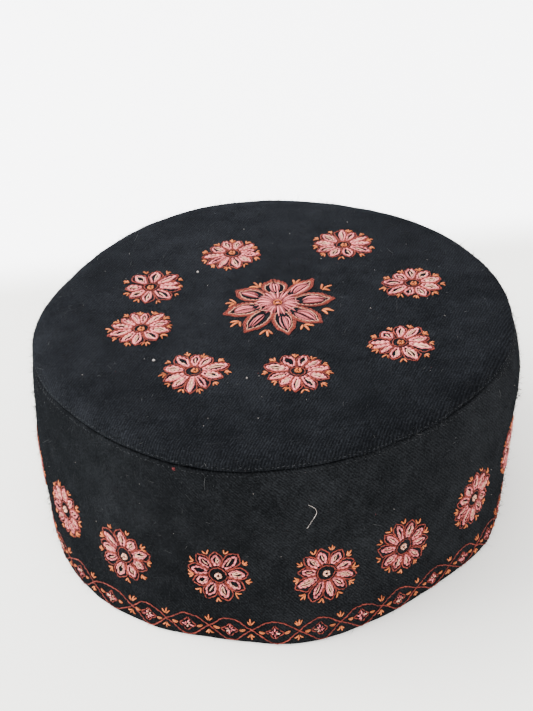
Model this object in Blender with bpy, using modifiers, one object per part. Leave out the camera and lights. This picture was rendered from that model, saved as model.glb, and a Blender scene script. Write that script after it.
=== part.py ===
"""A round black wool cap with a flat crown, sewn from two pieces of cloth.

The cap stands on its lower edge. The frame is in metres, +Z up, with the origin on the surface
that the cap rests on, under the middle of its outline. The photographed front faces -Y.
"""

from math import atan2, cos, exp, hypot, pi, radians, sin

import bpy
import bmesh

MM = 0.001

# Driving dimensions, in millimetres.
SEAM_RADIUS = 91.0  # mean radius of the seam that joins the crown to the band
SEAM_HEIGHT = 76.5  # from the lower edge to that seam
CROWN_RISE = 5.8  # from the seam to the top of the rolled shoulder
CROWN_DOME = 0.9  # extra height of the crown's middle
CLOTH = 2.0  # the wall: twill on a stiffened backing
HEM_HEIGHT = 12.0  # cloth turned up inside the lower edge
HEM_EXTRA = 0.9  # what the turned-up layer adds to the wall
ALLOWANCE = 5.0  # width of the edges turned inwards at the seam
SEAM_GAP = 0.3  # between the two turned edges
SEAM_DEPTH = 1.5  # how far the seam is drawn in below the cloth beside it
TURN_STEPS = 72  # facets round the cap

# The heights, as shares of the seam's height, of the four outlines in the table below.
RIM_LEVEL, MIDDLE_LEVEL, BULGE_LEVEL, SEAM_LEVEL = 0.0, 0.45, 0.85, 1.0

# How far the soft outline stands out (+) or in (-) from the mean radius, in millimetres, by
# direction in degrees from +X. The cap was stored folded, which leaves its lower edge with blunt
# corners near -90 and -140, and a nearly straight run between -78 and -20.
# direction, rim, middle, bulge, seam
OUTLINE = (
    (-180, 1.8, 4.5, 2.4, 0.5),
    (-160, 4.8, 4.9, 4.4, 2.1),
    (-140, 7.2, 5.0, 3.8, 2.1),
    (-120, 7.1, 4.2, 5.5, 4.1),
    (-105, 5.2, 3.3, 6.5, 5.5),
    (-90, 6.2, 2.3, 4.4, 3.4),
    (-78, 3.1, 1.3, 2.6, 1.6),
    (-65, -1.2, 0.1, 0.8, -0.6),
    (-50, -3.0, -0.8, 0.2, -1.8),
    (-35, -1.2, -1.0, 0.7, -2.2),
    (-20, -2.2, -0.6, 1.8, -2.0),
    (0, -3.2, -0.5, 1.4, -2.4),
    (22, -3.1, -0.9, 0.4, -2.2),
    (45, -2.4, -1.0, 0.2, -1.4),
    (68, -1.7, -0.8, 0.8, -1.1),
    (90, -1.2, -0.3, 2.8, 2.0),
    (112, -1.0, 0.4, 2.8, 2.0),
    (135, -0.8, 1.5, 0.5, -0.7),
    (158, -0.1, 3.0, -0.9, -2.5),
)

# Soft hollows (-) and swells (+) of the crown, in millimetres.
# middle_x, middle_y, reach, height
CROWN_DENTS = (
    (-46.0, 30.0, 30.0, -1.0),
    (38.0, 44.0, 26.0, -0.8),
    (52.0, -26.0, 24.0, 0.6),
    (-20.0, -50.0, 28.0, 0.5),
    (4.0, 6.0, 34.0, -0.7),
)


def between(start, end, start_slope, end_slope, span, share):
    """A cubic from start to end that leaves and arrives at the given slopes."""
    square, cube = share**2, share**3
    return (
        (2 * cube - 3 * square + 1) * start
        + (cube - 2 * square + share) * span * start_slope
        + (3 * square - 2 * cube) * end
        + (cube - square) * span * end_slope
    )


def round_the_cap(column, direction):
    """The outline table's column at a direction, as a smooth curve right round the cap."""
    rows = len(OUTLINE)
    here = (direction + 180.0) % 360.0 - 180.0
    first = max(i for i in range(rows) if OUTLINE[i][0] <= here)

    def angle(i):
        return OUTLINE[i % rows][0] + 360.0 * (i // rows)

    def value(i):
        return OUTLINE[i % rows][column]

    def slope(i):
        return (value(i + 1) - value(i - 1)) / (angle(i + 1) - angle(i - 1))

    span = angle(first + 1) - angle(first)
    share = (here - angle(first)) / span
    return between(value(first), value(first + 1), slope(first), slope(first + 1), span, share)


def outline_offset(direction, height):
    """How far the wall stands out from the mean radius at a direction and a height."""
    levels = (RIM_LEVEL, MIDDLE_LEVEL, BULGE_LEVEL, SEAM_LEVEL)
    values = [round_the_cap(column, direction) for column in (1, 2, 3, 4)]
    share = min(max(height / SEAM_HEIGHT, 0.0), 1.0)
    rises = [(values[i + 1] - values[i]) / (levels[i + 1] - levels[i]) for i in range(3)]
    slopes = [
        rises[0],
        (values[2] - values[0]) / (levels[2] - levels[0]),
        (values[3] - values[1]) / (levels[3] - levels[1]),
        rises[2],
    ]
    first = 0 if share < levels[1] else 1 if share < levels[2] else 2
    span = levels[first + 1] - levels[first]
    part = (share - levels[first]) / span
    return between(
        values[first], values[first + 1], slopes[first], slopes[first + 1], span, part
    )


def cloth_material(name):
    """Black wool twill, matt, with a faint blue cast."""
    material = bpy.data.materials.new(name)
    material.use_nodes = True
    shader = material.node_tree.nodes["Principled BSDF"]
    shader.inputs["Base Color"].default_value = (0.016, 0.019, 0.023, 1.0)
    shader.inputs["Roughness"].default_value = 0.92
    shader.inputs["Metallic"].default_value = 0.0
    return material


def turned(name, profile, closed, collection):
    """A profile of (radius, height) points in millimetres, turned round the Z axis."""
    mesh = bpy.data.meshes.new(name + "_profile")
    points = [(radius * MM, 0.0, height * MM) for radius, height in profile]
    edges = [(i, i + 1) for i in range(len(points) - 1)]
    if closed:
        edges.append((len(points) - 1, 0))
    mesh.from_pydata(points, edges, [])
    outline = bpy.data.objects.new(name + "_profile", mesh)
    collection.objects.link(outline)
    screw = outline.modifiers.new("turn", "SCREW")
    screw.axis = "Z"
    screw.angle = 2 * pi
    screw.steps = TURN_STEPS
    screw.render_steps = TURN_STEPS
    screw.use_merge_vertices = True
    screw.merge_threshold = 0.00001
    bpy.context.view_layer.update()
    graph = bpy.context.evaluated_depsgraph_get()
    solid_mesh = bpy.data.meshes.new_from_object(outline.evaluated_get(graph))
    solid_mesh.name = name
    bpy.data.objects.remove(outline)
    weld(solid_mesh)
    solid = bpy.data.objects.new(name, solid_mesh)
    collection.objects.link(solid)
    return solid


def weld(mesh):
    """Joins the ends of the turn and the points that meet on the axis."""
    work = bmesh.new()
    work.from_mesh(mesh)
    bmesh.ops.remove_doubles(work, verts=work.verts, dist=0.00001)
    work.to_mesh(mesh)
    work.free()


def band_profile():
    """The band's section, clockwise from its turned-in top edge: offsets and heights."""
    top = SEAM_HEIGHT - SEAM_GAP / 2
    wall_heights = (70.0, 62.0, 54.0, 46.0, 38.0, 30.0, 22.0, 14.0, 7.0)
    outer = [
        (-ALLOWANCE, top),
        (-SEAM_DEPTH, top),
        (-0.5, top - 0.5),
        (0.0, top - 1.6),
        *[(0.0, height) for height in wall_heights],
        (0.0, 1.6),
        (-0.2, 0.4),
        (-0.7, 0.0),
    ]
    fold = CLOTH + HEM_EXTRA
    inner = [
        (-fold + 0.7, 0.0),
        (-fold, 0.9),
        (-fold, HEM_HEIGHT - 0.8),
        (-CLOTH, HEM_HEIGHT),
        *[(-CLOTH, height) for height in reversed(wall_heights[:-2])],
        (-CLOTH - 0.6, top - CLOTH - 0.8),
        (-CLOTH - 1.6, top - CLOTH),
        (-ALLOWANCE, top - CLOTH),
    ]
    return [(SEAM_RADIUS + offset, height) for offset, height in outer + inner]


def crown_profile():
    """The crown's section, from its middle on top, over the shoulder and back underneath.

    The cloth rolls over the shoulder and its edge is turned in, flat over the band's edge.
    """
    base = SEAM_HEIGHT + SEAM_GAP / 2
    top = SEAM_HEIGHT + CROWN_RISE
    rings = (14.0, 28.0, 42.0, 55.0, 67.0, 77.0)
    shoulder = [
        (-7.0, top - 0.1),
        (-3.8, top - 0.5),
        (-1.6, top - 1.3),
        (0.0, top - 2.6),
        (0.7, base + 1.7),
        (0.2, base + 0.5),
        (-SEAM_DEPTH, base),
        (-ALLOWANCE, base),
        (-ALLOWANCE, base + CLOTH),
        (-2.0, base + CLOTH),
        (-3.4, top - CLOTH - 0.9),
        (-6.6, top - CLOTH - 0.2),
    ]
    return [
        (0.0, top),
        *[(radius, top) for radius in rings],
        *[(SEAM_RADIUS + offset, height) for offset, height in shoulder],
        *[(radius, top - CLOTH) for radius in reversed(rings)],
        (0.0, top - CLOTH),
    ]


def crown_height_change(x, y):
    """The low dome of the crown and its soft dents, which die out at the shoulder."""
    radius = hypot(x, y)
    inside = max(0.0, 1.0 - (radius / SEAM_RADIUS) ** 2)
    dents = sum(
        height * exp(-((x - middle_x) ** 2 + (y - middle_y) ** 2) / reach**2)
        for middle_x, middle_y, reach, height in CROWN_DENTS
    )
    return CROWN_DOME * inside + dents * min(1.0, 3.0 * inside)


def soften_band(vertex):
    """Moves a point of the turned band out or in to the cloth's real outline."""
    x, y, z = (value / MM for value in vertex.co)
    direction = atan2(y, x) * 180.0 / pi
    radius = hypot(x, y) + outline_offset(direction, z)
    place_round(vertex, direction, radius, z)


def soften_crown(vertex):
    """Moves a point of the turned crown with the seam's outline, and into its dents."""
    x, y, z = (value / MM for value in vertex.co)
    direction = atan2(y, x) * 180.0 / pi
    share = hypot(x, y) / SEAM_RADIUS
    radius = hypot(x, y) + outline_offset(direction, SEAM_HEIGHT) * share**2
    place_round(vertex, direction, radius, z + crown_height_change(x, y))


def place_round(vertex, direction, radius, height):
    """Puts a vertex at a direction in degrees, and a radius and height in millimetres."""
    turn = radians(direction)
    vertex.co = (radius * cos(turn) * MM, radius * sin(turn) * MM, height * MM)


def finish(solid, soften):
    """Gives a turned solid its soft outline, its cloth and its smooth shading."""
    for vertex in solid.data.vertices:
        soften(vertex)
    solid.data.materials.append(cloth_material(solid.name + "_cloth"))
    solid.data.shade_smooth()
    solid.data.set_sharp_from_angle(angle=radians(50.0))


def stand_over_origin(solids):
    """Slides the pieces together so that the middle of the cap's outline is over the origin."""
    across = [vertex.co.x for solid in solids for vertex in solid.data.vertices]
    deep = [vertex.co.y for solid in solids for vertex in solid.data.vertices]
    middle_x = (min(across) + max(across)) / 2
    middle_y = (min(deep) + max(deep)) / 2
    for solid in solids:
        for vertex in solid.data.vertices:
            vertex.co.x -= middle_x
            vertex.co.y -= middle_y


def main():
    for old in list(bpy.data.objects):
        bpy.data.objects.remove(old)
    collection = bpy.data.collections.new("embroidered_cap")
    bpy.context.scene.collection.children.link(collection)
    side_band = turned("side_band", band_profile(), True, collection)
    crown_top = turned("crown_top", crown_profile(), False, collection)
    finish(side_band, soften_band)
    finish(crown_top, soften_crown)
    stand_over_origin([side_band, crown_top])


main()
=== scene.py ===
import math
import bmesh
import bpy
import numpy as np
from mathutils import Matrix, Vector
from mathutils.bvhtree import BVHTree


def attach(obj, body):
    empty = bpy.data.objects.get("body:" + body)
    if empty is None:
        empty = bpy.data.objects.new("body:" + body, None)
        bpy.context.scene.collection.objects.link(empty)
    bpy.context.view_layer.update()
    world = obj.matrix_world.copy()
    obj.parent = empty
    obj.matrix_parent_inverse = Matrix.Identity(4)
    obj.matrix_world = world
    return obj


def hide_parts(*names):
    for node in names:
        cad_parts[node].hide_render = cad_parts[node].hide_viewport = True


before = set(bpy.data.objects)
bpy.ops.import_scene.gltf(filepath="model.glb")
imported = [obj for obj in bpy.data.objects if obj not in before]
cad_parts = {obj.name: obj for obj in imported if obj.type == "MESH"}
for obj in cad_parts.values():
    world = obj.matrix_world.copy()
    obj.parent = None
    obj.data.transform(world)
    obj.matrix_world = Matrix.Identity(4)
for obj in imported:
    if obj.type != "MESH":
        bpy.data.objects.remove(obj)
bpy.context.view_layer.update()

# The viewpoint
# The cap is seen from the front and above, 33 degrees over the table, from about 60 centimetres.
# The picture leans by just under three degrees.
camera_place = Vector((-0.00316, -0.48133, 0.37485))
camera_tilt = math.radians(33.08)
camera_roll = 0.05
looking = Vector((0.0, math.cos(camera_tilt), -math.sin(camera_tilt)))
level_right = Vector((1.0, 0.0, 0.0))
level_up = Vector((0.0, math.sin(camera_tilt), math.cos(camera_tilt)))
picture_right = math.cos(camera_roll) * level_right - math.sin(camera_roll) * level_up
picture_up = math.sin(camera_roll) * level_right + math.cos(camera_roll) * level_up
turned = Matrix((picture_right, picture_up, -looking)).transposed().to_4x4()
bpy.ops.object.camera_add()
camera = bpy.context.object
camera.name = "viewpoint"
camera.matrix_world = Matrix.Translation(camera_place) @ turned
camera.data.sensor_width = 36.0
camera.data.lens = 75.19
camera.data.clip_start = 0.02
camera.data.clip_end = 20.0
bpy.context.scene.camera = camera

# The crown cloth
# A round of black wool twill over a stiff backing, rolled over at the shoulder and turned in at
# the seam. It is matt, with a faint blue cast, and handling has left it gently uneven.
twill_pitch = 0.00098
crown_dark = (0.0037, 0.0041, 0.0048)
crown_light = (0.0101, 0.0111, 0.0131)


def take_up(piece):
    """Puts everything down and takes up one piece."""
    bpy.ops.object.select_all(action="DESELECT")
    piece.select_set(True)
    bpy.context.view_layer.objects.active = piece


# Where the two cloths meet, their turned edges are pressed flat, so that the seam is a fine ditch:
# height of a row of points, how far it moves out, and how far up.
seam_edges = (
    (0.07715, 0.0008, -0.0002), (0.07585, 0.0012, 0.00095), (0.07475, 0.0006, 0.0005),
)


def cut_cloth(node, name):
    """A soft copy of a plain pattern piece, with quads and a rounder surface."""
    piece = bpy.data.objects.new(name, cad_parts[node].data.copy())
    bpy.context.scene.collection.objects.link(piece)
    piece.data.materials.clear()
    for vertex in piece.data.vertices:
        for height, outward, upward in seam_edges:
            if abs(vertex.co.z - height) < 0.0001:
                vertex.co += Vector((vertex.co.x, vertex.co.y, 0.0)).normalized() * outward
                vertex.co.z += upward
    take_up(piece)
    bpy.ops.object.mode_set(mode="EDIT")
    bpy.ops.mesh.select_all(action="SELECT")
    bpy.ops.mesh.remove_doubles(threshold=0.00001)
    bpy.ops.mesh.tris_convert_to_quads(face_threshold=0.9, shape_threshold=0.9)
    bpy.ops.object.mode_set(mode="OBJECT")
    if piece.data.has_custom_normals:
        bpy.ops.mesh.customdata_custom_splitnormals_clear()
    rounder = piece.modifiers.new("rounder", "SUBSURF")
    rounder.levels = 2
    rounder.render_levels = 2
    bpy.ops.object.modifier_apply(modifier=rounder.name)
    for title, size, depth in (("handled", 0.034, 0.0013), ("rumpled", 0.011, 0.0005)):
        unevenness = bpy.data.textures.new(name + "_" + title, "CLOUDS")
        unevenness.noise_scale = size
        unevenness.noise_depth = 1
        wave = piece.modifiers.new(title, "DISPLACE")
        wave.texture = unevenness
        wave.texture_coords = "LOCAL"
        wave.strength = depth
        wave.mid_level = 0.5
        bpy.ops.object.modifier_apply(modifier=wave.name)
    for vertex in piece.data.vertices:
        vertex.co.z = max(0.0, vertex.co.z)
    bpy.ops.object.shade_smooth()
    return piece


def add_node(material, kind, **sockets):
    """A node in a material, with some of its inputs set by name."""
    node = material.node_tree.nodes.new(kind)
    for socket, value in sockets.items():
        node.inputs[socket.replace("_", " ")].default_value = value
    return node


def join_nodes(material, *pairs):
    """Joins an output to an input for each pair."""
    for output, entry in pairs:
        material.node_tree.links.new(output, entry)


def new_material(name):
    """A material and its shader."""
    material = bpy.data.materials.new(name)
    material.use_nodes = True
    return material, material.node_tree.nodes["Principled BSDF"]


def wool_twill(name, coordinate, lean, ribs, dark, light, painted_light_slope):
    """Black wool twill: fine leaning ridges, flecks, a soft mottle, and a slow gradient of painted light
    and shade one way.
    """
    material, shader = new_material(name)
    place = add_node(material, "ShaderNodeTexCoord")
    turn = add_node(material, "ShaderNodeMapping", Rotation=(0.0, 0.0, math.radians(lean)))
    ridges = add_node(
        material, "ShaderNodeTexWave", Scale=math.tau / (20 * twill_pitch), Distortion=3.4,
        Detail=2.0, Detail_Scale=1.2
    )
    flecks = add_node(material, "ShaderNodeTexNoise", Scale=1500.0, Detail=3.0, Roughness=0.7)
    mottle = add_node(material, "ShaderNodeTexNoise", Scale=110.0, Detail=5.0, Roughness=0.62)
    cloud = add_node(material, "ShaderNodeTexNoise", Scale=24.0, Detail=2.0, Roughness=0.5)
    fleck_part = add_node(material, "ShaderNodeMath")
    mottle_part = add_node(material, "ShaderNodeMath")
    cloud_part = add_node(material, "ShaderNodeMath")
    for part, share, start in (
        (fleck_part, 1.3, -0.65), (mottle_part, 0.5, -0.25), (cloud_part, 0.4, -0.2)
    ):
        part.operation = "MULTIPLY_ADD"
        part.inputs[1].default_value = share
        part.inputs[2].default_value = start
    ridge_part = add_node(material, "ShaderNodeMath")
    ridge_part.operation = "MULTIPLY_ADD"
    ridge_part.inputs[1].default_value = ribs
    # Painted light and shade: the colour grows lighter one way across the cloth and darker the other.
    painted_light_gradient = add_node(material, "ShaderNodeVectorMath")
    painted_light_gradient.operation = "DOT_PRODUCT"
    painted_light_gradient.inputs[1].default_value = painted_light_slope
    uneven = add_node(material, "ShaderNodeMath")
    tone = add_node(material, "ShaderNodeMath")
    tone.inputs[1].default_value = 0.4
    tone_with_painted_light = add_node(material, "ShaderNodeMath")
    whole = add_node(material, "ShaderNodeMath")
    ramp = add_node(material, "ShaderNodeValToRGB")
    ramp.color_ramp.elements[0].color = (*(part * 0.35 for part in dark), 1.0)
    ramp.color_ramp.elements[1].color = (*(part * 1.7 for part in light), 1.0)
    middle = ramp.color_ramp.elements.new(0.40)
    middle.color = (*dark, 1.0)
    upper = ramp.color_ramp.elements.new(0.72)
    upper.color = (*light, 1.0)
    relief = add_node(material, "ShaderNodeBump", Strength=0.7, Distance=0.00025)
    join_nodes(
        material,
        (place.outputs[coordinate], turn.inputs["Vector"]),
        (turn.outputs["Vector"], ridges.inputs["Vector"]),
        (place.outputs["Object"], flecks.inputs["Vector"]),
        (place.outputs["Object"], mottle.inputs["Vector"]),
        (place.outputs["Object"], cloud.inputs["Vector"]),
        (flecks.outputs["Fac"], fleck_part.inputs[0]),
        (mottle.outputs["Fac"], mottle_part.inputs[0]),
        (cloud.outputs["Fac"], cloud_part.inputs[0]),
        (ridges.outputs["Fac"], ridge_part.inputs[0]),
        (fleck_part.outputs[0], ridge_part.inputs[2]),
        (place.outputs["Object"], painted_light_gradient.inputs[0]),
        (mottle_part.outputs[0], uneven.inputs[0]),
        (cloud_part.outputs[0], uneven.inputs[1]),
        (uneven.outputs[0], tone.inputs[0]),
        (tone.outputs[0], tone_with_painted_light.inputs[0]),
        (painted_light_gradient.outputs["Value"], tone_with_painted_light.inputs[1]),
        (tone_with_painted_light.outputs[0], whole.inputs[0]),
        (ridge_part.outputs[0], whole.inputs[1]),
        (whole.outputs[0], ramp.inputs["Fac"]),
        (ramp.outputs["Color"], shader.inputs["Base Color"]),
        (ridge_part.outputs[0], relief.inputs["Height"]),
        (relief.outputs["Normal"], shader.inputs["Normal"]),
    )
    shader.inputs["Roughness"].default_value = 0.95
    shader.inputs["Specular IOR Level"].default_value = 0.0
    shader.inputs["Sheen Weight"].default_value = 0.004
    shader.inputs["Sheen Roughness"].default_value = 0.6
    shader.inputs["Sheen Tint"].default_value = (0.7, 0.82, 1.0, 1.0)
    return material


crown_cloth = cut_cloth("crown_top", "crown_cloth")
# The crown's colour carries painted light towards the back and a little to the left, and painted shade
# towards the front and the right.
crown_twill = wool_twill(
    "crown_twill", "Object", lean=25.0, ribs=0.26, dark=crown_dark, light=crown_light,
    painted_light_slope=(-0.3, 0.9, 0.0)
)
crown_cloth.data.materials.append(crown_twill)
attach(crown_cloth, "root")
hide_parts("crown_top")

# The band cloth
# One long strip of the same twill round the head, turned up inside at the lower edge. Its flat
# measure round the cap runs from the middle of the front, so that the ends meet at the back.
band_radius = 94.0
# These are a little lighter than the crown's colours, as painted light for the upright side, which gets
# less light.
band_dark = (0.0040, 0.0044, 0.0049)
band_light = (0.0106, 0.0115, 0.0129)


def measure_round(piece):
    """Marks each point of the band with its length round the cap and its height, in metres."""
    mesh = piece.data
    chart = mesh.uv_layers.new(name="round_and_up")
    spots = np.empty(len(mesh.vertices) * 3)
    mesh.vertices.foreach_get("co", spots)
    spots = spots.reshape(-1, 3)
    corner = np.empty(len(mesh.loops), int)
    mesh.loops.foreach_get("vertex_index", corner)
    turn = np.arctan2(spots[:, 0], -spots[:, 1])[corner]
    for face in mesh.polygons:
        first = face.loop_start
        last = first + face.loop_total
        part = turn[first:last]
        turn[first:last] = np.where(part - part[0] > math.pi, part - math.tau, part)
        part = turn[first:last]
        turn[first:last] = np.where(part - part[0] < -math.pi, part + math.tau, part)
    flat = np.column_stack((turn * band_radius * 0.001, spots[corner, 2]))
    chart.data.foreach_set("uv", flat.ravel())


band_cloth = cut_cloth("side_band", "band_cloth")
measure_round(band_cloth)
# The band's colour carries painted shade round to its left and painted light round to its right.
band_twill = wool_twill(
    "band_twill", "UV", lean=-42.0, ribs=0.17, dark=band_dark, light=band_light,
    painted_light_slope=(1.1, 0.0, 0.0)
)
band_cloth.data.materials.append(band_twill)
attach(band_cloth, "root")
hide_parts("side_band")

# The thread and how it lies
# Soft cotton thread of a few plies. One stitch is modelled once: a bowed, flattened strand that
# goes down into the cloth at both ends. All places below are in millimetres on the flat cloth.
hand = np.random.default_rng(11)
graph = bpy.context.evaluated_depsgraph_get()
crown_surface = BVHTree.FromObject(crown_cloth, graph)
band_surface = BVHTree.FromObject(band_cloth, graph)


def on_crown(across, deep):
    """The crown's surface and its facing at a place seen from straight above."""
    start = Vector((across * 0.001, deep * 0.001, 0.2))
    return crown_surface.ray_cast(start, Vector((0.0, 0.0, -1.0)))[:2]


def from_outside(surface, around, height):
    """A cloth's surface and its facing at a length round from the front, and a height."""
    turn = around / band_radius
    outward = Vector((math.sin(turn), -math.cos(turn), 0.0))
    start = outward * 0.3 + Vector((0.0, 0.0, height * 0.001))
    return surface.ray_cast(start, -outward)[:2]


def on_band(around, height):
    """A place on the band's outer side."""
    return from_outside(band_surface, around, height)


def model_strand(sides, rings):
    """One strand, one unit long and thick, from its start at the origin along +X."""
    bpy.ops.mesh.primitive_cylinder_add(
        vertices=sides, radius=0.5, depth=1.0, location=(0.5, 0.0, 0.0),
        rotation=(math.pi / 2, math.pi / 6, math.pi / 2)
    )
    strand = bpy.context.object
    take_up(strand)
    bpy.ops.object.transform_apply(location=True, rotation=True, scale=True)
    bpy.ops.object.mode_set(mode="EDIT")
    work = bmesh.from_edit_mesh(strand.data)
    for edge in work.edges:
        edge.select = abs(edge.verts[0].co.x - edge.verts[1].co.x) > 0.5
    bpy.ops.mesh.subdivide(number_cuts=len(rings) - 2)
    for number, (place, thick) in enumerate(rings):
        even = number / (len(rings) - 1)
        bpy.ops.mesh.select_all(action="DESELECT")
        work = bmesh.from_edit_mesh(strand.data)
        for vertex in work.verts:
            vertex.select = abs(vertex.co.x - even) < 0.001
        work.select_flush(True)
        bmesh.update_edit_mesh(strand.data)
        bpy.ops.transform.resize(value=(1.0, thick, thick), center_override=(even, 0.0, 0.0))
    bpy.ops.mesh.select_all(action="DESELECT")
    bpy.ops.object.mode_set(mode="OBJECT")
    return strand


strand_rings = ((0.0, 0.50), (0.2, 0.88), (0.5, 1.0), (0.8, 0.88), (1.0, 0.50))
strand = model_strand(6, strand_rings)


def read_pattern(pattern):
    """A small model's points, faces and flat measures, ready to be repeated."""
    mesh = pattern.data
    points = np.array([vertex.co[:] for vertex in mesh.vertices])
    faces = [list(face.vertices) for face in mesh.polygons]
    chart = np.array([corner.uv[:] for corner in mesh.uv_layers.active.data])
    bpy.data.objects.remove(pattern)
    return points, faces, chart


strand_points, strand_faces, strand_chart = read_pattern(strand)
# Painted shade on each strand: lighter along its top, darker down its sides and underside, and darker
# still at both ends where it goes into the cloth.
strand_painted_shade = strand_points[:, 2] - 0.30 - np.abs(2 * strand_points[:, 0] - 1) ** 3 * 0.1
strand_rise = np.interp(
    strand_points[:, 0], (0.0, 0.25, 0.5, 0.75, 1.0), (-0.5, 0.22, 0.42, 0.22, -0.5)
)


def lay_stitches(name, stitches, on_cloth, material):
    """Lays every stitch of a list on the cloth, as one piece of needlework."""
    rows = np.array(stitches)
    count = len(rows)
    start, middle, end = rows[:, None, 0:2], rows[:, None, 2:4], rows[:, None, 4:6]
    levels = np.unique(np.round(strand_points[:, 0], 4))
    ring = np.searchsorted(levels, np.round(strand_points[:, 0], 4))
    share = levels[None, :, None]
    bow = 2 * middle - (start + end) / 2
    line = (1 - share) ** 2 * start + 2 * share * (1 - share) * bow + share**2 * end
    spots = np.empty((count, len(levels), 3))
    facing = np.empty((count, len(levels), 3))
    for i in range(count):
        for k in range(len(levels)):
            spot, normal = on_cloth(line[i, k, 0], line[i, k, 1])
            spots[i, k] = spot
            facing[i, k] = normal
    along = np.gradient(spots, axis=1)
    along /= np.linalg.norm(along, axis=2, keepdims=True)
    beside = np.cross(facing, along)
    beside /= np.linalg.norm(beside, axis=2, keepdims=True)
    width = rows[:, 6, None, None] * 0.001
    height = rows[:, 7, None, None] * 0.001
    lift = rows[:, 8, None, None] * 0.001
    rise = (strand_points[:, 2] + strand_rise)[None, :, None] * height + lift
    points = (
        spots[:, ring]
        + beside[:, ring] * strand_points[None, :, 1, None] * width
        + facing[:, ring] * rise
    )
    size = len(strand_points)
    faces = [[corner + i * size for corner in face] for i in range(count) for face in strand_faces]
    mesh = bpy.data.meshes.new(name)
    mesh.from_pydata(points.reshape(-1, 3).tolist(), [], faces)
    length = np.linalg.norm(end - start, axis=2)
    chart = np.empty((count, len(strand_chart), 2))
    chart[:, :, 0] = strand_chart[None, :, 0]
    chart[:, :, 1] = (strand_chart[None, :, 1] - 0.5) * 2 * length + hand.random((count, 1))
    mesh.uv_layers.new(name="round_and_along").data.foreach_set("uv", chart.ravel())
    # Each stitch's own tone, with the painted shade of its strand added.
    tint = mesh.attributes.new("shade", "FLOAT", "POINT")
    shades = (rows[:, 9, None] + strand_painted_shade[None, :]).astype(np.float32)
    tint.data.foreach_set("value", shades.ravel())
    mesh.materials.append(material)
    mesh.shade_smooth()
    piece = bpy.data.objects.new(name, mesh)
    bpy.context.scene.collection.objects.link(piece)
    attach(piece, "root")


def dyed_thread(name, deep, fair, sheen=0.02):
    """Cotton thread: twisted plies, and a colour that differs a little from stitch to stitch."""
    material, shader = new_material(name)
    place = add_node(material, "ShaderNodeTexCoord")
    # The shade attribute brings each stitch's own tone together with the strand's painted shade.
    tint = add_node(material, "ShaderNodeAttribute")
    tint.attribute_name = "shade"
    twist = add_node(material, "ShaderNodeVectorMath")
    twist.operation = "DOT_PRODUCT"
    twist.inputs[1].default_value = (3 * math.tau, math.tau / 0.85, 0.0)
    plies = add_node(material, "ShaderNodeMath")
    plies.operation = "SINE"
    fluff = add_node(material, "ShaderNodeTexNoise", Scale=2600.0, Detail=2.0, Roughness=0.6)
    soil = add_node(material, "ShaderNodeTexNoise", Scale=160.0, Detail=2.0, Roughness=0.5)
    relief = add_node(material, "ShaderNodeBump", Strength=0.6, Distance=0.0001)
    colour = add_node(material, "ShaderNodeValToRGB")
    colour.color_ramp.elements[0].color = (*deep, 1.0)
    colour.color_ramp.elements[1].color = (*fair, 1.0)
    # Painted shade in the twist: the colour turns darker in the grooves between the plies and lighter on
    # them.
    ply_groove_shade = add_node(material, "ShaderNodeMath")
    ply_groove_shade.operation = "MULTIPLY_ADD"
    ply_groove_shade.inputs[1].default_value = 0.2
    soil_part = add_node(material, "ShaderNodeMath")
    soil_part.operation = "MULTIPLY_ADD"
    soil_part.inputs[1].default_value = 0.5
    centre = add_node(material, "ShaderNodeMath")
    centre.operation = "SUBTRACT"
    centre.inputs[1].default_value = 0.25
    rough = add_node(material, "ShaderNodeMath")
    rough.operation = "MULTIPLY_ADD"
    rough.inputs[1].default_value = 0.5
    join_nodes(
        material,
        (place.outputs["UV"], twist.inputs[0]),
        (twist.outputs["Value"], plies.inputs[0]),
        (place.outputs["Object"], fluff.inputs["Vector"]),
        (place.outputs["Object"], soil.inputs["Vector"]),
        (plies.outputs[0], ply_groove_shade.inputs[0]),
        (tint.outputs["Fac"], ply_groove_shade.inputs[2]),
        (soil.outputs["Fac"], soil_part.inputs[0]),
        (ply_groove_shade.outputs[0], soil_part.inputs[2]),
        (soil_part.outputs[0], centre.inputs[0]),
        (centre.outputs[0], colour.inputs["Fac"]),
        (colour.outputs["Color"], shader.inputs["Base Color"]),
        (fluff.outputs["Fac"], rough.inputs[0]),
        (plies.outputs[0], rough.inputs[2]),
        (rough.outputs[0], relief.inputs["Height"]),
        (relief.outputs["Normal"], shader.inputs["Normal"]),
    )
    shader.inputs["Roughness"].default_value = 0.72
    shader.inputs["Specular IOR Level"].default_value = 0.12
    shader.inputs["Sheen Weight"].default_value = sheen
    shader.inputs["Sheen Roughness"].default_value = 0.45
    return material


rust = dyed_thread("rust_thread", (0.046, 0.0068, 0.0055), (0.285, 0.045, 0.029))
orange = dyed_thread("orange_thread", (0.140, 0.027, 0.0085), (0.610, 0.160, 0.047))
pink = dyed_thread("pink_thread", (0.120, 0.018, 0.020), (0.930, 0.235, 0.250))
cream = dyed_thread("cream_thread", (0.230, 0.078, 0.052), (0.920, 0.500, 0.350))


def polar(angle, radius, middle=(0.0, 0.0)):
    """A place at an angle in degrees and a radius from a middle."""
    turn = math.radians(angle)
    return np.array((middle[0] + radius * math.cos(turn), middle[1] + radius * math.sin(turn)))


def smooth_line(points, steps=7):
    """A smooth line through the points."""
    points = np.array(points, float)
    ends = np.vstack((2 * points[0] - points[1], points, 2 * points[-1] - points[-2]))
    share = np.linspace(0.0, 1.0, steps, endpoint=False)[:, None]
    parts = []
    for i in range(1, len(ends) - 2):
        before, here, there, after = ends[i - 1 : i + 3]
        parts.append(
            0.5 * (
                2 * here
                + (there - before) * share
                + (2 * before - 5 * here + 4 * there - after) * share**2
                + (3 * here - before - 3 * there + after) * share**3
            )
        )
    return np.vstack((*parts, points[-1:]))


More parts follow.
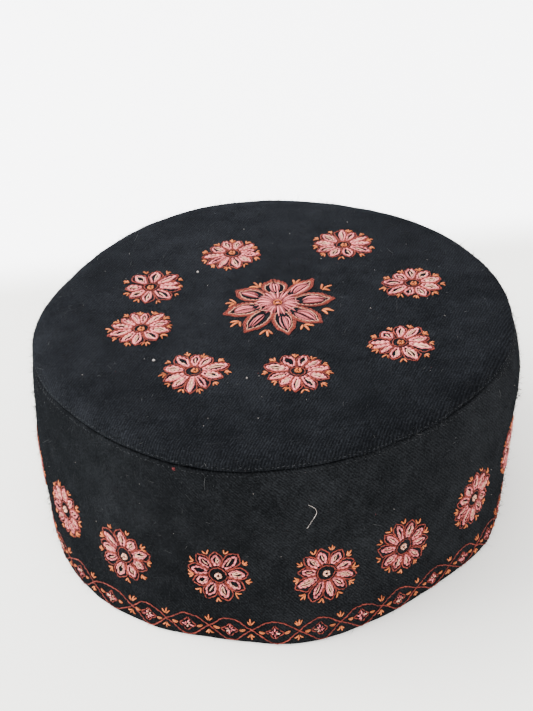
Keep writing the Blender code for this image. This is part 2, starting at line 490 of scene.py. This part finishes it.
def sew(thread, start, end, bow=0.0, width=0.8, height=0.55, lift=0.0, shade=0.5):
    """One straight or bowed stitch."""
    start = np.array(start, float)
    end = np.array(end, float)
    aside = np.array((start[1] - end[1], end[0] - start[0]))
    aside /= max(0.01, math.hypot(*aside))
    middle = (start + end) / 2 + aside * bow
    tone = shade + hand.normal(0.0, 0.09)
    thick = width * (1 + hand.normal(0.0, 0.06))
    thread.append((*start, *middle, *end, thick, height, lift, tone))


def sew_row(thread, line, pace=1.7, width=0.7, height=0.5, slant=0.10, lift=0.0, shade=0.5):
    """Short overlapping stitches along a line, each a little aslant."""
    line = np.array(line, float)
    steps = np.diff(line, axis=0)
    run = np.concatenate(((0.0,), np.cumsum(np.hypot(steps[:, 0], steps[:, 1]))))
    count = max(1, round(run[-1] / pace))
    pitch = run[-1] / count
    for i in range(count):
        marks = np.array((i - 0.18, i + 0.5, i + 1.18)) * pitch
        marks = np.clip(marks, 0.0, run[-1])
        spots = np.column_stack((np.interp(marks, run, line[:, 0]), np.interp(marks, run, line[:, 1])))
        way = spots[2] - spots[0]
        aside = np.array((-way[1], way[0])) / max(0.01, math.hypot(*way))
        sway = np.array((slant, 0.0, -slant))[:, None] * aside
        spots = spots + sway + hand.normal(0.0, 0.05, (3, 2))
        tone = shade + hand.normal(0.0, 0.12)
        thick = width * (1 + hand.normal(0.0, 0.08))
        thread.append((*spots.ravel(), thick, height, lift + 0.04 * (i % 2), tone))


# The flower on the crown
# Eight broad petals round a heart of straight pink stitches. Each petal has a double rust row,
# a pale orange row inside it, and a loose spindle of pink strands on bare cloth.
heart = (2.1, 3.0)
petal_foot = 7.2
heart_stitches = 44
# petal angle, tip from the heart, widest, how far the widest place is along it, strands inside
flower_petals = (
    (94.0, 18.4, 10.4, 0.50, 3),
    (50.0, 23.1, 7.6, 0.45, 4),
    (6.0, 22.5, 11.0, 0.42, 4),
    (-45.0, 23.0, 9.6, 0.45, 4),
    (-82.0, 23.9, 9.0, 0.36, 3),
    (-123.0, 24.1, 9.4, 0.42, 2),
    (-163.0, 22.0, 10.0, 0.42, 4),
    (145.0, 19.9, 9.8, 0.42, 3),
)
# angle and distance of each small sprig between the petals
flower_sprigs = (
    (118.0, 16.3), (63.0, 17.9), (29.0, 22.0), (-21.0, 20.0),
    (-61.0, 20.8), (-104.0, 21.7), (-141.0, 21.2), (175.0, 18.2),
)
flower_rust = []
flower_pale = []
flower_orange = []
flower_pink = []


def petal_side(middle, angle, base, tip, half, widest, side):
    """One side of a pointed petal, from its base to its tip."""
    length = tip - base
    out = np.array((math.cos(math.radians(angle)), math.sin(math.radians(angle))))
    aside = np.array((-out[1], out[0])) * side
    shares = (
        (0.0, 0.58), (widest * 0.5, 0.88), (widest, 1.0), (0.5 + widest / 2, 0.78),
        (0.72 + widest * 0.28, 0.40), (1.0, 0.0),
    )
    return [np.array(middle) + out * (base + length * far) + aside * half * wide for far, wide in shares]


for angle, tip, widest, place, strands in flower_petals:
    half = widest / 2 - 0.3
    for side in (-1, 1):
        outer = smooth_line(petal_side(heart, angle, petal_foot, tip - 0.25, half, place, side))
        foot = petal_foot + 0.2
        inner = smooth_line(petal_side(heart, angle, foot, tip - 1.2, half - 0.55, place, side))
        pale = petal_side(heart, angle, foot, tip - 2.2, half - 1.12, place, side)
        pale = smooth_line([polar(angle, petal_foot - 0.3, heart), *pale])
        sew_row(flower_rust, outer, pace=1.7, width=0.64, height=0.5, slant=0.06, shade=0.30)
        sew_row(flower_rust, inner, pace=1.7, width=0.62, height=0.5, slant=0.06, shade=0.62)
        sew_row(flower_pale, pale, pace=1.7, width=0.44, height=0.45, slant=0.05, shade=0.22)
    middle = petal_foot + (tip - petal_foot) * 0.44
    reach = (tip - petal_foot) * 0.32
    gap = min(1.0, (widest / 2 - 1.75) * 2 / strands)
    out = polar(angle + 90.0, 1.0)
    astray = hand.normal(0.0, 0.35)
    missed = hand.integers(1, 2 * strands)
    for i in range(2 * strands):
        if i == missed:
            continue
        aside = (i / 2 - (strands - 0.5) / 2) * gap * 1.25
        start = polar(angle, middle - reach * hand.uniform(0.8, 1.1), heart)
        end = polar(angle, middle + reach * hand.uniform(0.7, 1.1), heart)
        # The strands that lie lower get darker tones than the raised ones: painted shade between the
        # strands, on top of their own differing tones.
        sew(
            flower_pink, start + out * (aside * 0.5 + astray), end + out * (aside * 0.35 + astray),
            bow=aside * 0.7 + hand.normal(0.0, 0.12), width=0.56, height=0.55, lift=0.12 * (i % 2),
            shade=hand.uniform(0.15, 0.8) if i % 2 else hand.uniform(-0.1, 0.3)
        )
for i in range(heart_stitches):
    angle = i * 360.0 / heart_stitches + hand.normal(0.0, 2.0)
    near = (2.0 if i % 2 else 1.2) + hand.normal(0.0, 0.2)
    far = (8.9 if i % 2 else 8.3) + hand.normal(0.0, 0.6)
    # The lower, wider rays are the darkest: partly a darker rose under-layer of thread and partly
    # painted shade beneath the raised rays.
    sew(
        flower_pink, polar(angle, near, heart), polar(angle + hand.normal(0.0, 2.0), far, heart),
        bow=hand.normal(0.0, 0.15), width=0.74 if i % 2 else 0.95, height=0.6,
        lift=0.12 * (i % 2), shade=hand.uniform(0.1, 0.75) if i % 2 else 0.0
    )
for aside in (-1.1, 1.1):
    row = ((heart[0] - 1.5, heart[1] + aside), (heart[0] + 1.5, heart[1] + aside))
    sew(flower_orange, *row, width=0.75, height=0.8, lift=0.15, shade=0.5)
for aside in (-1.4, 1.4):
    row = ((heart[0] + aside, heart[1] - 1.1), (heart[0] + aside, heart[1] + 1.1))
    sew(flower_orange, *row, width=0.6, height=0.7, lift=0.1, shade=0.3)
sew(flower_pink, (heart[0] - 1.0, heart[1]), (heart[0] + 1.0, heart[1]), width=1.1, shade=0.3)


def sew_sprig(thread, foot, angle, size, width, leans=(-1.0, 0.0, 1.0), spread=36.0, shade=0.6):
    """A little sprig like a bird's foot: a few stitches that fan out from one end."""
    turn = angle + hand.normal(0.0, 7.0)
    for lean in leans:
        long = size * (1 - 0.16 * abs(lean)) * (1 + hand.normal(0.0, 0.08))
        way = turn + lean * spread + hand.normal(0.0, 5.0)
        near = polar(turn, size * 0.12 * (1 - abs(lean)), foot)
        tone = shade + hand.normal(0.0, 0.12)
        sew(thread, near, polar(way, long, foot), bow=-lean * 0.15, width=width, shade=tone)


for angle, far in flower_sprigs:
    foot = polar(angle, far - 2.6, heart)
    sew_sprig(flower_orange, foot, angle, 5.3, 1.0, spread=42.0, shade=0.55)
lay_stitches("centre_flower_rust", flower_rust, on_crown, rust)
lay_stitches("centre_flower_pale", flower_pale, on_crown, cream)
lay_stitches("centre_flower_orange", flower_orange, on_crown, orange)
lay_stitches("centre_flower_pink", flower_pink, on_crown, pink)

# The eight rosettes on the crown
# Round a bare black eye with an orange knot stand ten or so petals. Each is a pointed pink loop
# with a pale strand in its slit, drawn round with one rust line. Orange sprigs stand between.
crown_reach = 12.0  # from the middle to a petal's tip, give or take a little
petal_lengths = np.random.default_rng(8)
# place across and deep, the eye's shift from it, then each petal's angle
crown_rosettes = (
    (-15.0, 42.9, 0.2, 1.2, (149, 106, 72, 39, 14, -12, -46, -82, -118, -143, -169)),
    (31.3, 47.3, -1.3, -0.4, (170, 132, 88, 60, 28, 5, -32, -76, -118, -154)),
    (54.6, 11.6, 0.0, 1.3, (172, 128, 89, 51, 12, -28, -69, -106, -141)),
    (45.2, -30.6, 0.0, 0.8, (172, 128, 80, 49, 11, -21, -68, -108, -143, -165)),
    (7.9, -47.0, -0.2, 2.0, (160, 116, 72, 38, 9, -23, -66, -97, -126, -158)),
    (-29.1, -43.3, -0.4, 2.0, (166, 119, 83, 51, 11, -28, -67, -93, -123, -152)),
    (-49.8, -10.5, 0.4, 0.4, (164, 133, 107, 82, 53, 20, -18, -58, -97, -128, -160)),
    (-47.0, 22.3, 0.0, -0.8, (127, 77, 37, 9, -13, -54, -98, -133, -174)),
)


def sew_rosette(threads, middle, angles, tips, knot, pupil, room, fair):
    """One rosette: pupil is the eye's radius, room the gap between a pink loop and its rust line,
    and fair the shade of its pink thread."""
    rust_run, pink_run, cream_run, orange_run = threads
    eye = [polar(turn, pupil + hand.normal(0.0, 0.15), middle) for turn in range(0, 361, 30)]
    eye[-1] = eye[0]
    sew_row(rust_run, smooth_line(eye, 4), pace=1.7, width=0.5, height=0.4, shade=0.4)
    astray = hand.normal(0.0, 0.35, 2)
    for k in range(5):
        here = polar(k * 72.0, 1.0, middle + astray)
        there = polar(k * 72.0 + 84.0, 1.0, middle + astray)
        sew(knot, here, there, bow=-0.2, width=0.95, height=0.8, shade=0.6)
    count = len(angles)
    for i in range(count):
        angle = angles[i]
        tip = tips[i]
        left = (angles[i - 1] - angle) % 360.0 / 2
        right = (angle - angles[(i + 1) % count]) % 360.0 / 2
        stretch = (tip - 0.25) / 11.0
        for side, half in ((1, left), (-1, right)):
            half = min(half, 23.0)
            shares = (
                (pupil + 0.3, 0.62), (5.2, 0.86), (7.0, 0.92), (8.7 * stretch, 0.82),
                (9.8 * stretch, 0.46), (11.1 * stretch, 0.0),
            )
            line = [polar(angle + side * half * wide, far, middle) for far, wide in shares]
            line = smooth_line(np.array(line) + hand.normal(0.0, 0.10, (6, 2)), 5)
            sew_row(rust_run, line, pace=1.8, width=0.56, height=0.42, slant=0.06, shade=0.43)
        belly = 7.3 * math.tan(math.radians(min(left, right, 20.0) * 0.92)) - 0.52 - room * 0.25
        belly = max(0.45, belly)
        long = tip - 0.7 - room
        fullest = (4.2 + long) / 2 + 0.4
        sway = hand.normal(0.0, 2.0)
        for side in (-1, 1):
            line = [
                polar(angle + sway * far / 12 + side * math.degrees(wide / far), far, middle)
                for far, wide in (
                    (pupil + 0.8, 0.10), (5.3, belly * 0.62), (fullest, belly),
                    (fullest + (long - fullest) * 0.5, belly * 0.60), (long, 0.0)
                )
            ]
            line = smooth_line(np.array(line) + hand.normal(0.0, 0.08, (5, 2)), 5)
            sew_row(pink_run, line, pace=1.7, width=0.86, height=0.6, slant=0.10, shade=fair)
            if hand.random() < 0.5:
                line = [
                    polar(angle + sway * far / 12 + side * math.degrees(wide / far), far, middle)
                    for far, wide in ((5.0, 0.1), (fullest, belly - 0.42), (long - 1.0, 0.1))
                ]
                line = smooth_line(line, 5)
                sew_row(cream_run, line, pace=1.9, width=0.42, height=0.62, slant=0.05, shade=fair + 0.1)
        if hand.random() < 0.9:
            skew = hand.normal(0.0, 0.35)
            here = polar(angle - skew * 7, 5.0, middle)
            there = polar(angle + skew * 5, long - 1.3, middle)
            sew(cream_run, here, there, bow=skew * 0.3, width=0.5, height=0.5, shade=fair)
        notch = angle - right
        outer = (tip + tips[(i + 1) % count]) / 2 + 1.0 + hand.normal(0.0, 0.2)
        size = 2.9 + hand.normal(0.0, 0.25)
        prongs = ((-1.0, 0.0, 1.0), (-0.8, 0.6), (-0.6, 0.8), (-1.0, 0.1, 0.9))[hand.integers(4)]
        sew_sprig(orange_run, polar(notch, outer - size, middle), notch, size, 0.62, prongs, 41.0)


crown_rust = []
crown_pink = []
crown_cream = []
crown_orange = []
for across, deep, shift_across, shift_deep, angles in crown_rosettes:
    middle = np.array((across + shift_across, deep + shift_deep))
    tips = crown_reach + petal_lengths.normal(0.0, 0.8, len(angles))
    threads = (crown_rust, crown_pink, crown_cream, crown_orange)
    sew_rosette(threads, middle, angles, tips, crown_orange, pupil=2.7, room=0.3, fair=0.50)
lay_stitches("crown_rosettes_rust", crown_rust, on_crown, rust)
lay_stitches("crown_rosettes_pink", crown_pink, on_crown, pink)
lay_stitches("crown_rosettes_cream", crown_cream, on_crown, cream)
lay_stitches("crown_rosettes_orange", crown_orange, on_crown, orange)

# The sixteen rosettes round the band
# The same rosettes as on the crown, in the same four threads, with a cream knot in the eye. They
# stand at nearly even steps round the side.
band_reach = 11.6
# direction, height, the eye's shift, petal angles
plain_petals = (162, 126, 88, 52, 17, -20, -57, -92, -128, -164)
band_rosettes = (
    (-148.7, 29.2, 0.0, 0.0, plain_petals),
    (-127.4, 27.4, -0.4, 0.5, (176, 143, 96, 59, 20, -17, -64, -106, -149)),
    (-105.0, 29.3, 0.0, 0.0, (168, 131, 93, 54, 9, -30, -72, -112, -155)),
    (-81.8, 28.9, 0.9, 0.2, (170, 135, 100, 57, 14, -20, -52, -84, -117, -156)),
    (-62.2, 29.5, 0.0, 0.2, (165, 135, 107, 72, 30, -3, -47, -77, -113, -150)),
    (-38.9, 31.4, 0.0, 0.0, plain_petals),
    (-17.8, 33.5, 0.0, 0.0, plain_petals),
    (5.1, 31.0, 0.0, 0.0, plain_petals),
    (28.0, 30.0, 0.0, 0.0, plain_petals),
    (50.9, 30.0, 0.0, 0.0, plain_petals),
    (73.8, 30.5, 0.0, 0.0, plain_petals),
    (96.7, 30.0, 0.0, 0.0, plain_petals),
    (119.6, 29.5, 0.0, 0.0, plain_petals),
    (142.5, 30.0, 0.0, 0.0, plain_petals),
    (165.4, 29.5, 0.0, 0.0, plain_petals),
    (-171.7, 29.5, 0.0, 0.0, plain_petals),
)


def round_from_front(direction):
    """The length round the band from the front to a direction in degrees."""
    turn = (direction + 270.0) % 360.0 - 180.0
    return math.radians(turn) * band_radius


band_rust = []
band_pink = []
band_cream = []
band_orange = []
for direction, height, shift_round, shift_up, angles in band_rosettes:
    middle = np.array((round_from_front(direction) + shift_round, height + shift_up))
    tips = band_reach + hand.normal(0.0, 0.6, len(angles))
    threads = (band_rust, band_pink, band_cream, band_orange)
    # The band's pink is set darker than the crown's: painted shade for the upright side, which gets less
    # light.
    sew_rosette(threads, middle, angles, tips, band_cream, pupil=3.2, room=1.0, fair=0.38)
lay_stitches("band_rosettes_rust", band_rust, on_band, rust)
lay_stitches("band_rosettes_pink", band_pink, on_band, pink)
lay_stitches("band_rosettes_cream", band_cream, on_band, cream)
lay_stitches("band_rosettes_orange", band_orange, on_band, orange)

# The border at the lower edge
# Two rust lines cross again and again round the cap. Each eye between two crossings holds a
# small pink lozenge between two orange bars, and sprigs stand above and below each crossing.
# the directions of the crossings in front, then even steps round the unseen rest
crossings = [-149.0, -138.3, -126.2, -117.4, -107.7, -98.3, -87.9, -78.6, -68.2, -58.0, -46.7,
             -36.3, -25.3]
unseen_turn = 236.3
unseen_eyes = 23
crossings += [-25.3 + step * unseen_turn / unseen_eyes for step in range(1, unseen_eyes)]
crossing_height = 6.2
border_rust = []
border_pink = []
border_cream = []
border_orange = []
# one line over an eye and one under it: the share of the way along, and the height
arch = (
    (0.0, crossing_height), (0.12, 7.5), (0.30, 9.5), (0.44, 10.3), (0.60, 10.2), (0.75, 9.2),
    (0.90, 7.4),
)
bowl = (
    (0.0, crossing_height), (0.14, 4.9), (0.30, 2.8), (0.44, 1.2), (0.60, 1.0), (0.76, 2.6),
    (0.90, 4.8),
)
lozenge = (
    (3.3, 0), (1.4, 1.3), (0, 3.0), (-1.4, 1.3), (-3.3, 0), (-1.4, -1.3), (0, -3.0), (1.4, -1.3),
)
edges = [round_from_front(crossings[0]) + math.radians((c - crossings[0]) % 360.0) * band_radius
         for c in crossings]
edges.append(edges[0] + math.tau * band_radius)
for first, second in ((arch, bowl), (bowl, arch)):
    line = []
    for i in range(len(crossings)):
        start = edges[i]
        span = edges[i + 1] - start
        for share, height in (first if i % 2 == 0 else second):
            sway = hand.normal(0.0, 0.16, 2)
            line.append((start + span * share + sway[0], max(0.95, height + sway[1])))
    line.append((edges[-1], crossing_height))
    line = smooth_line(line, 4)
    sew_row(border_rust, line, pace=2.1, width=0.56, height=0.42, slant=0.05, shade=0.36)
for i in range(len(crossings)):
    start = edges[i]
    span = edges[i + 1] - start
    middle = np.array((start + span * 0.5, 5.6 + hand.normal(0.0, 0.15)))
    corners = [middle + np.array(spot) + hand.normal(0.0, 0.22, 2) for spot in lozenge]
    for here, there in zip(corners, corners[1:] + corners[:1]):
        sew(border_rust, here, there, width=0.5, height=0.45, shade=0.4)
    for turn in range(0, 360, 45):
        flat = abs(math.cos(math.radians(turn)))
        long = (2.5 if turn % 90 == 0 else 1.6) * (1 + hand.normal(0.0, 0.15)) * (0.8 + 0.2 * flat)
        run = border_pink if hand.random() < 0.75 else border_cream
        near = polar(turn + hand.normal(0.0, 12.0), 0.35, middle)
        tone = hand.uniform(0.0, 0.75)
        sew(run, near, polar(turn + hand.normal(0.0, 10.0), long, middle), width=0.54, shade=tone)
    for side in (-1, 1):
        near = middle + np.array((side * 3.3, hand.normal(0.0, 0.3)))
        far = middle + np.array((side * (5.8 + hand.normal(0.0, 0.3)), hand.normal(0.0, 0.35) + 0.3))
        sew(border_orange, near, far, bow=0.3, width=0.46, height=0.5, shade=0.62)
        sew(border_orange, near, far, bow=-0.3, width=0.46, height=0.45, shade=0.42)
    foot = np.array((start, 8.1))
    fan = ((-1.0, 0.0, 1.0), (-1.0, -0.35, 0.35, 1.0), (-1.0, -0.2, 0.8))[hand.integers(3)]
    sew_sprig(border_orange, foot, 90.0, 3.0, 0.58, fan, spread=40.0, shade=0.55)
    foot = np.array((start, 4.4))
    sew_sprig(border_orange, foot, -90.0, 2.6, 0.58, spread=46.0)
lay_stitches("border_rust", border_rust, on_band, rust)
lay_stitches("border_pink", border_pink, on_band, pink)
lay_stitches("border_cream", border_cream, on_band, cream)
lay_stitches("border_orange", border_orange, on_band, orange)

# The seam's stitching
# Two rows of small stitches in dark thread, one just above the seam ditch and one just below it,
# hold the turned edges flat, and slip stitches across the ditch join the two cloths.
row_stitches = 330
slip_stitches = 190
ditch_height = 76.6
dark = dyed_thread("dark_thread", (0.003, 0.0034, 0.0042), (0.016, 0.017, 0.020))


def on_shoulder(around, height):
    """A place on the crown's rolled shoulder."""
    return from_outside(crown_surface, around, height)


for title, on_cloth, height in (("below", on_band, 75.2), ("above", on_shoulder, 78.3)):
    row = []
    for i in range(row_stitches):
        here = (i - row_stitches / 2) * math.tau * band_radius / row_stitches
        here += hand.normal(0.0, 0.2)
        start = (here, height + hand.normal(0.0, 0.2))
        end = (here + hand.uniform(0.5, 1.2), height + hand.normal(0.0, 0.2))
        sew(row, start, end, width=0.30, height=0.24, shade=hand.uniform(0.1, 1.1))
    lay_stitches("seam_stitches_" + title, row, on_cloth, dark)


def on_seam(around, height):
    """The band or the crown, whichever of them has this height."""
    return (on_band if height < ditch_height else on_shoulder)(around, height)


row = []
for i in range(slip_stitches):
    here = (i - slip_stitches / 2) * math.tau * band_radius / slip_stitches
    here += hand.normal(0.0, 0.6)
    end = (here + hand.normal(0.4, 0.3), 77.5)
    sew(row, (here, 75.7), end, width=0.36, height=0.3, lift=0.1, shade=hand.uniform(0.0, 0.9))
lay_stitches("seam_stitches_across", row, on_seam, dark)

# Fluff and lint
# Short loose fibres stand off the wool all over and soften its outline. Here and there lies a
# speck of pale or pink lint, a wisp of red, and on the front one long white fibre.
crown_fibres = 9500
band_fibres = 13000
fibre_thickness = 0.00011
band_specks = 70
crown_specks = 45
fibre_rings = ((0.0, 1.0), (0.5, 0.8), (1.0, 0.25))
fibre_points, fibre_faces = read_pattern(model_strand(3, fibre_rings))[:2]


def loose_wool(name):
    """Loose fibres: most as dark as the cloth, a few grey or pale."""
    material, shader = new_material(name)
    tint = add_node(material, "ShaderNodeAttribute")
    tint.attribute_name = "shade"
    ramp = add_node(material, "ShaderNodeValToRGB")
    ramp.color_ramp.elements[0].color = (0.003, 0.0034, 0.0042, 1.0)
    ramp.color_ramp.elements[1].color = (0.10, 0.10, 0.10, 1.0)
    grey = ramp.color_ramp.elements.new(0.985)
    grey.color = (0.011, 0.012, 0.014, 1.0)
    join_nodes(
        material,
        (tint.outputs["Fac"], ramp.inputs["Fac"]),
        (ramp.outputs["Color"], shader.inputs["Base Color"]),
    )
    shader.inputs["Roughness"].default_value = 0.8
    shader.inputs["Specular IOR Level"].default_value = 0.1
    return material


def raise_fibres(name, roots, material):
    """One fibre on each root, a bent hair that leaves the cloth at a low angle."""
    count = len(roots)
    spots = np.array([root[0] for root in roots])
    facing = np.array([root[1] for root in roots])
    aim = hand.normal(0.0, 1.0, (count, 3))
    aim -= facing * np.sum(aim * facing, axis=1, keepdims=True)
    aim /= np.linalg.norm(aim, axis=1, keepdims=True)
    stand = 0.25 + 0.75 * hand.random((count, 1)) ** 1.2
    way = aim * np.sqrt(1 - stand * stand * 0.9) + facing * stand
    curl = hand.normal(0.0, 0.45, (count, 3)) - facing * 0.25
    long = 0.001 * (0.8 + 2.4 * hand.random((count, 1, 1)) ** 1.5)
    share = fibre_points[None, :, 0, None]
    line = spots[:, None] + long * (way[:, None] * share + curl[:, None] * share**2)
    beside = np.cross(facing, way)
    beside /= np.linalg.norm(beside, axis=1, keepdims=True)
    above = np.cross(way, beside)
    points = (
        line
        + beside[:, None] * fibre_points[None, :, 1, None] * fibre_thickness
        + above[:, None] * fibre_points[None, :, 2, None] * fibre_thickness
    )
    points[:, :, 2] = np.maximum(points[:, :, 2], 0.0001)
    size = len(fibre_points)
    faces = [[corner + i * size for corner in face] for i in range(count) for face in fibre_faces]
    mesh = bpy.data.meshes.new(name)
    mesh.from_pydata(points.reshape(-1, 3).tolist(), [], faces)
    tint = mesh.attributes.new("shade", "FLOAT", "POINT")
    shades = np.repeat(hand.random(count), size).astype(np.float32)
    tint.data.foreach_set("value", shades)
    mesh.materials.append(material)
    mesh.shade_smooth()
    piece = bpy.data.objects.new(name, mesh)
    bpy.context.scene.collection.objects.link(piece)
    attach(piece, "root")


loose = loose_wool("loose_wool")
roots = []
while len(roots) < crown_fibres:
    across, deep = hand.uniform(-94.0, 94.0, 2)
    root = on_crown(across, deep)
    if root[0] is not None:
        roots.append(root)
raise_fibres("fluff_crown", roots, loose)
roots = []
while len(roots) < band_fibres:
    around = hand.uniform(-math.pi, math.pi) * band_radius
    height = hand.uniform(0.6, 80.5)
    root = (on_band if height < 76.0 else on_shoulder)(around, height)
    if root[0] is not None and root[0].length > 0.08:
        roots.append(root)
raise_fibres("fluff_band", roots, loose)

lint = dyed_thread("lint", (0.16, 0.14, 0.13), (0.60, 0.54, 0.50))
pale_lint = []
pink_lint = []
for i in range(band_specks):
    around = hand.uniform(-math.pi, math.pi) * band_radius
    height = hand.uniform(12.0, 73.0)
    turn = hand.uniform(0.0, 360.0)
    run = pale_lint if hand.random() < 0.88 else pink_lint
    spot = np.array((around, height))
    long = hand.uniform(0.2, 0.5)
    tone = hand.uniform(0.3, 1.0) if run is pale_lint else hand.uniform(0.0, 0.3)
    sew(run, spot, polar(turn, long, spot), width=0.13, height=0.2, shade=tone)
for turn in (0.0, 35.0, 150.0):
    spot = np.array((-36.6, 75.2))
    sew(pink_lint, polar(turn, -0.9, spot), polar(turn, 0.8, spot), bow=0.3, width=0.14, shade=0.0)
lay_stitches("lint_band_pink", pink_lint, on_band, pink)
# the long white fibre on the front
white_line = ((8.3, 61.3), (10.0, 60.2), (11.3, 57.6), (9.7, 54.3), (7.7, 50.6))
sew_row(pale_lint, smooth_line(white_line), pace=1.6, width=0.13, height=0.3, slant=0.02, shade=0.6)
lay_stitches("lint_band_pale", pale_lint, on_band, lint)
pale_lint = []
red_lint = []
for i in range(crown_specks):
    radius = 80.0 * math.sqrt(hand.random())
    spot = polar(hand.uniform(0.0, 360.0), radius)
    turn = hand.uniform(0.0, 360.0)
    run = pale_lint if hand.random() < 0.8 else red_lint
    long = hand.uniform(0.2, 0.5)
    tone = hand.uniform(0.3, 1.0) if run is pale_lint else hand.uniform(0.0, 0.5)
    sew(run, spot, polar(turn, long, spot), width=0.13, height=0.2, shade=tone)
for turn in (10.0, 70.0, 130.0):
    spot = np.array((58.9, -67.9))
    sew(red_lint, polar(turn, -0.8, spot), polar(turn, 0.9, spot), bow=0.3, width=0.16, height=0.3)
for across, deep, long in ((-43.8, -33.0, 0.7), (-28.7, 31.2, 0.6), (-10.4, -47.8, 0.35)):
    for turn in (20.0, 95.0, 160.0):
        spot = np.array((across, deep))
        sew(pale_lint, polar(turn, -long, spot), polar(turn, long, spot), bow=0.2, width=long * 0.5)
lay_stitches("lint_crown_pale", pale_lint, on_crown, lint)
lay_stitches("lint_crown_red", red_lint, on_crown, rust)

# The table
# A plain pale table top. It is a warm white in front, and behind the cap it turns to a cooler,
# lighter white. It glows as painted light: faintly all over, and strongly behind the cap.
bpy.ops.mesh.primitive_plane_add(size=6.0, location=(0.0, 0.0, 0.0))
table = bpy.context.object
table.name = "table_top"
table_paint, table_shader = new_material("table_paint")
table_place = add_node(table_paint, "ShaderNodeTexCoord")
table_turn = add_node(table_paint, "ShaderNodeMapping", Rotation=(0.0, 0.0, math.radians(-5.2)))
table_split = add_node(table_paint, "ShaderNodeSeparateXYZ")
table_range = add_node(table_paint, "ShaderNodeMapRange")
table_range.interpolation_type = "SMOOTHSTEP"
table_range.inputs["From Min"].default_value = 0.165
table_range.inputs["From Max"].default_value = 0.215
table_colour = add_node(table_paint, "ShaderNodeValToRGB")
table_colour.color_ramp.elements[0].color = (0.86, 0.86, 0.81, 1.0)
table_colour.color_ramp.elements[1].color = (0.95, 0.955, 0.97, 1.0)
# Painted light: a glow of 0.3 everywhere, rising to 3.1 behind the cap.
table_glow = add_node(table_paint, "ShaderNodeMath")
table_glow.operation = "MULTIPLY_ADD"
table_glow.inputs[1].default_value = 2.8
table_glow.inputs[2].default_value = 0.3
table_shader.inputs["Emission Color"].default_value = (0.98, 0.985, 1.0, 1.0)
join_nodes(
    table_paint,
    (table_place.outputs["Object"], table_turn.inputs["Vector"]),
    (table_turn.outputs["Vector"], table_split.inputs["Vector"]),
    (table_split.outputs["Y"], table_range.inputs["Value"]),
    (table_range.outputs["Result"], table_colour.inputs["Fac"]),
    (table_colour.outputs["Color"], table_shader.inputs["Base Color"]),
    (table_range.outputs["Result"], table_glow.inputs[0]),
    (table_glow.outputs[0], table_shader.inputs["Emission Strength"]),
)
table_shader.inputs["Roughness"].default_value = 0.9
table_shader.inputs["Specular IOR Level"].default_value = 0.1
table.data.materials.append(table_paint)

# The lights
# One wide soft light high on the left, weak light from behind and from the front, and pale light
# all round that is a little weaker on the right.
lamps = (
    ("main_light", (-1.2, 0.1, 1.2), 1.4, 80.0, (1.0, 0.995, 0.98)),
    ("front_fill", (0.5, -1.7, 0.7), 1.2, 18.0, (1.0, 0.995, 0.985)),
    ("back_fill", (-0.3, 1.5, 1.3), 1.6, 6.0, (1.0, 1.0, 1.0)),
)
for title, place, size, power, tint in lamps:
    facing = (Vector((0.0, 0.0, 0.03)) - Vector(place)).to_track_quat("-Z", "Y").to_euler()
    bpy.ops.object.light_add(type="AREA", location=place, rotation=facing)
    lamp = bpy.context.object
    lamp.name = title
    lamp.data.size = size
    lamp.data.energy = power
    lamp.data.color = tint
world = bpy.context.scene.world or bpy.data.worlds.new("world")
bpy.context.scene.world = world
world.use_nodes = True
sky = world.node_tree.nodes["Background"]
sky.inputs["Strength"].default_value = 1.0
sky_place = world.node_tree.nodes.new("ShaderNodeTexCoord")
sky_split = world.node_tree.nodes.new("ShaderNodeSeparateXYZ")
sky_range = world.node_tree.nodes.new("ShaderNodeMapRange")
sky_range.inputs["From Min"].default_value = -1.0
sky_ramp = world.node_tree.nodes.new("ShaderNodeMix")
sky_ramp.data_type = "RGBA"
sky_ramp.inputs["A"].default_value = (3.25, 3.3, 3.38, 1.0)
sky_ramp.inputs["B"].default_value = (2.05, 1.94, 1.89, 1.0)
for output, entry in (
    (sky_place.outputs["Generated"], sky_split.inputs["Vector"]),
    (sky_split.outputs["X"], sky_range.inputs["Value"]),
    (sky_range.outputs["Result"], sky_ramp.inputs["Factor"]),
    (sky_ramp.outputs["Result"], sky.inputs["Color"]),
):
    world.node_tree.links.new(output, entry)
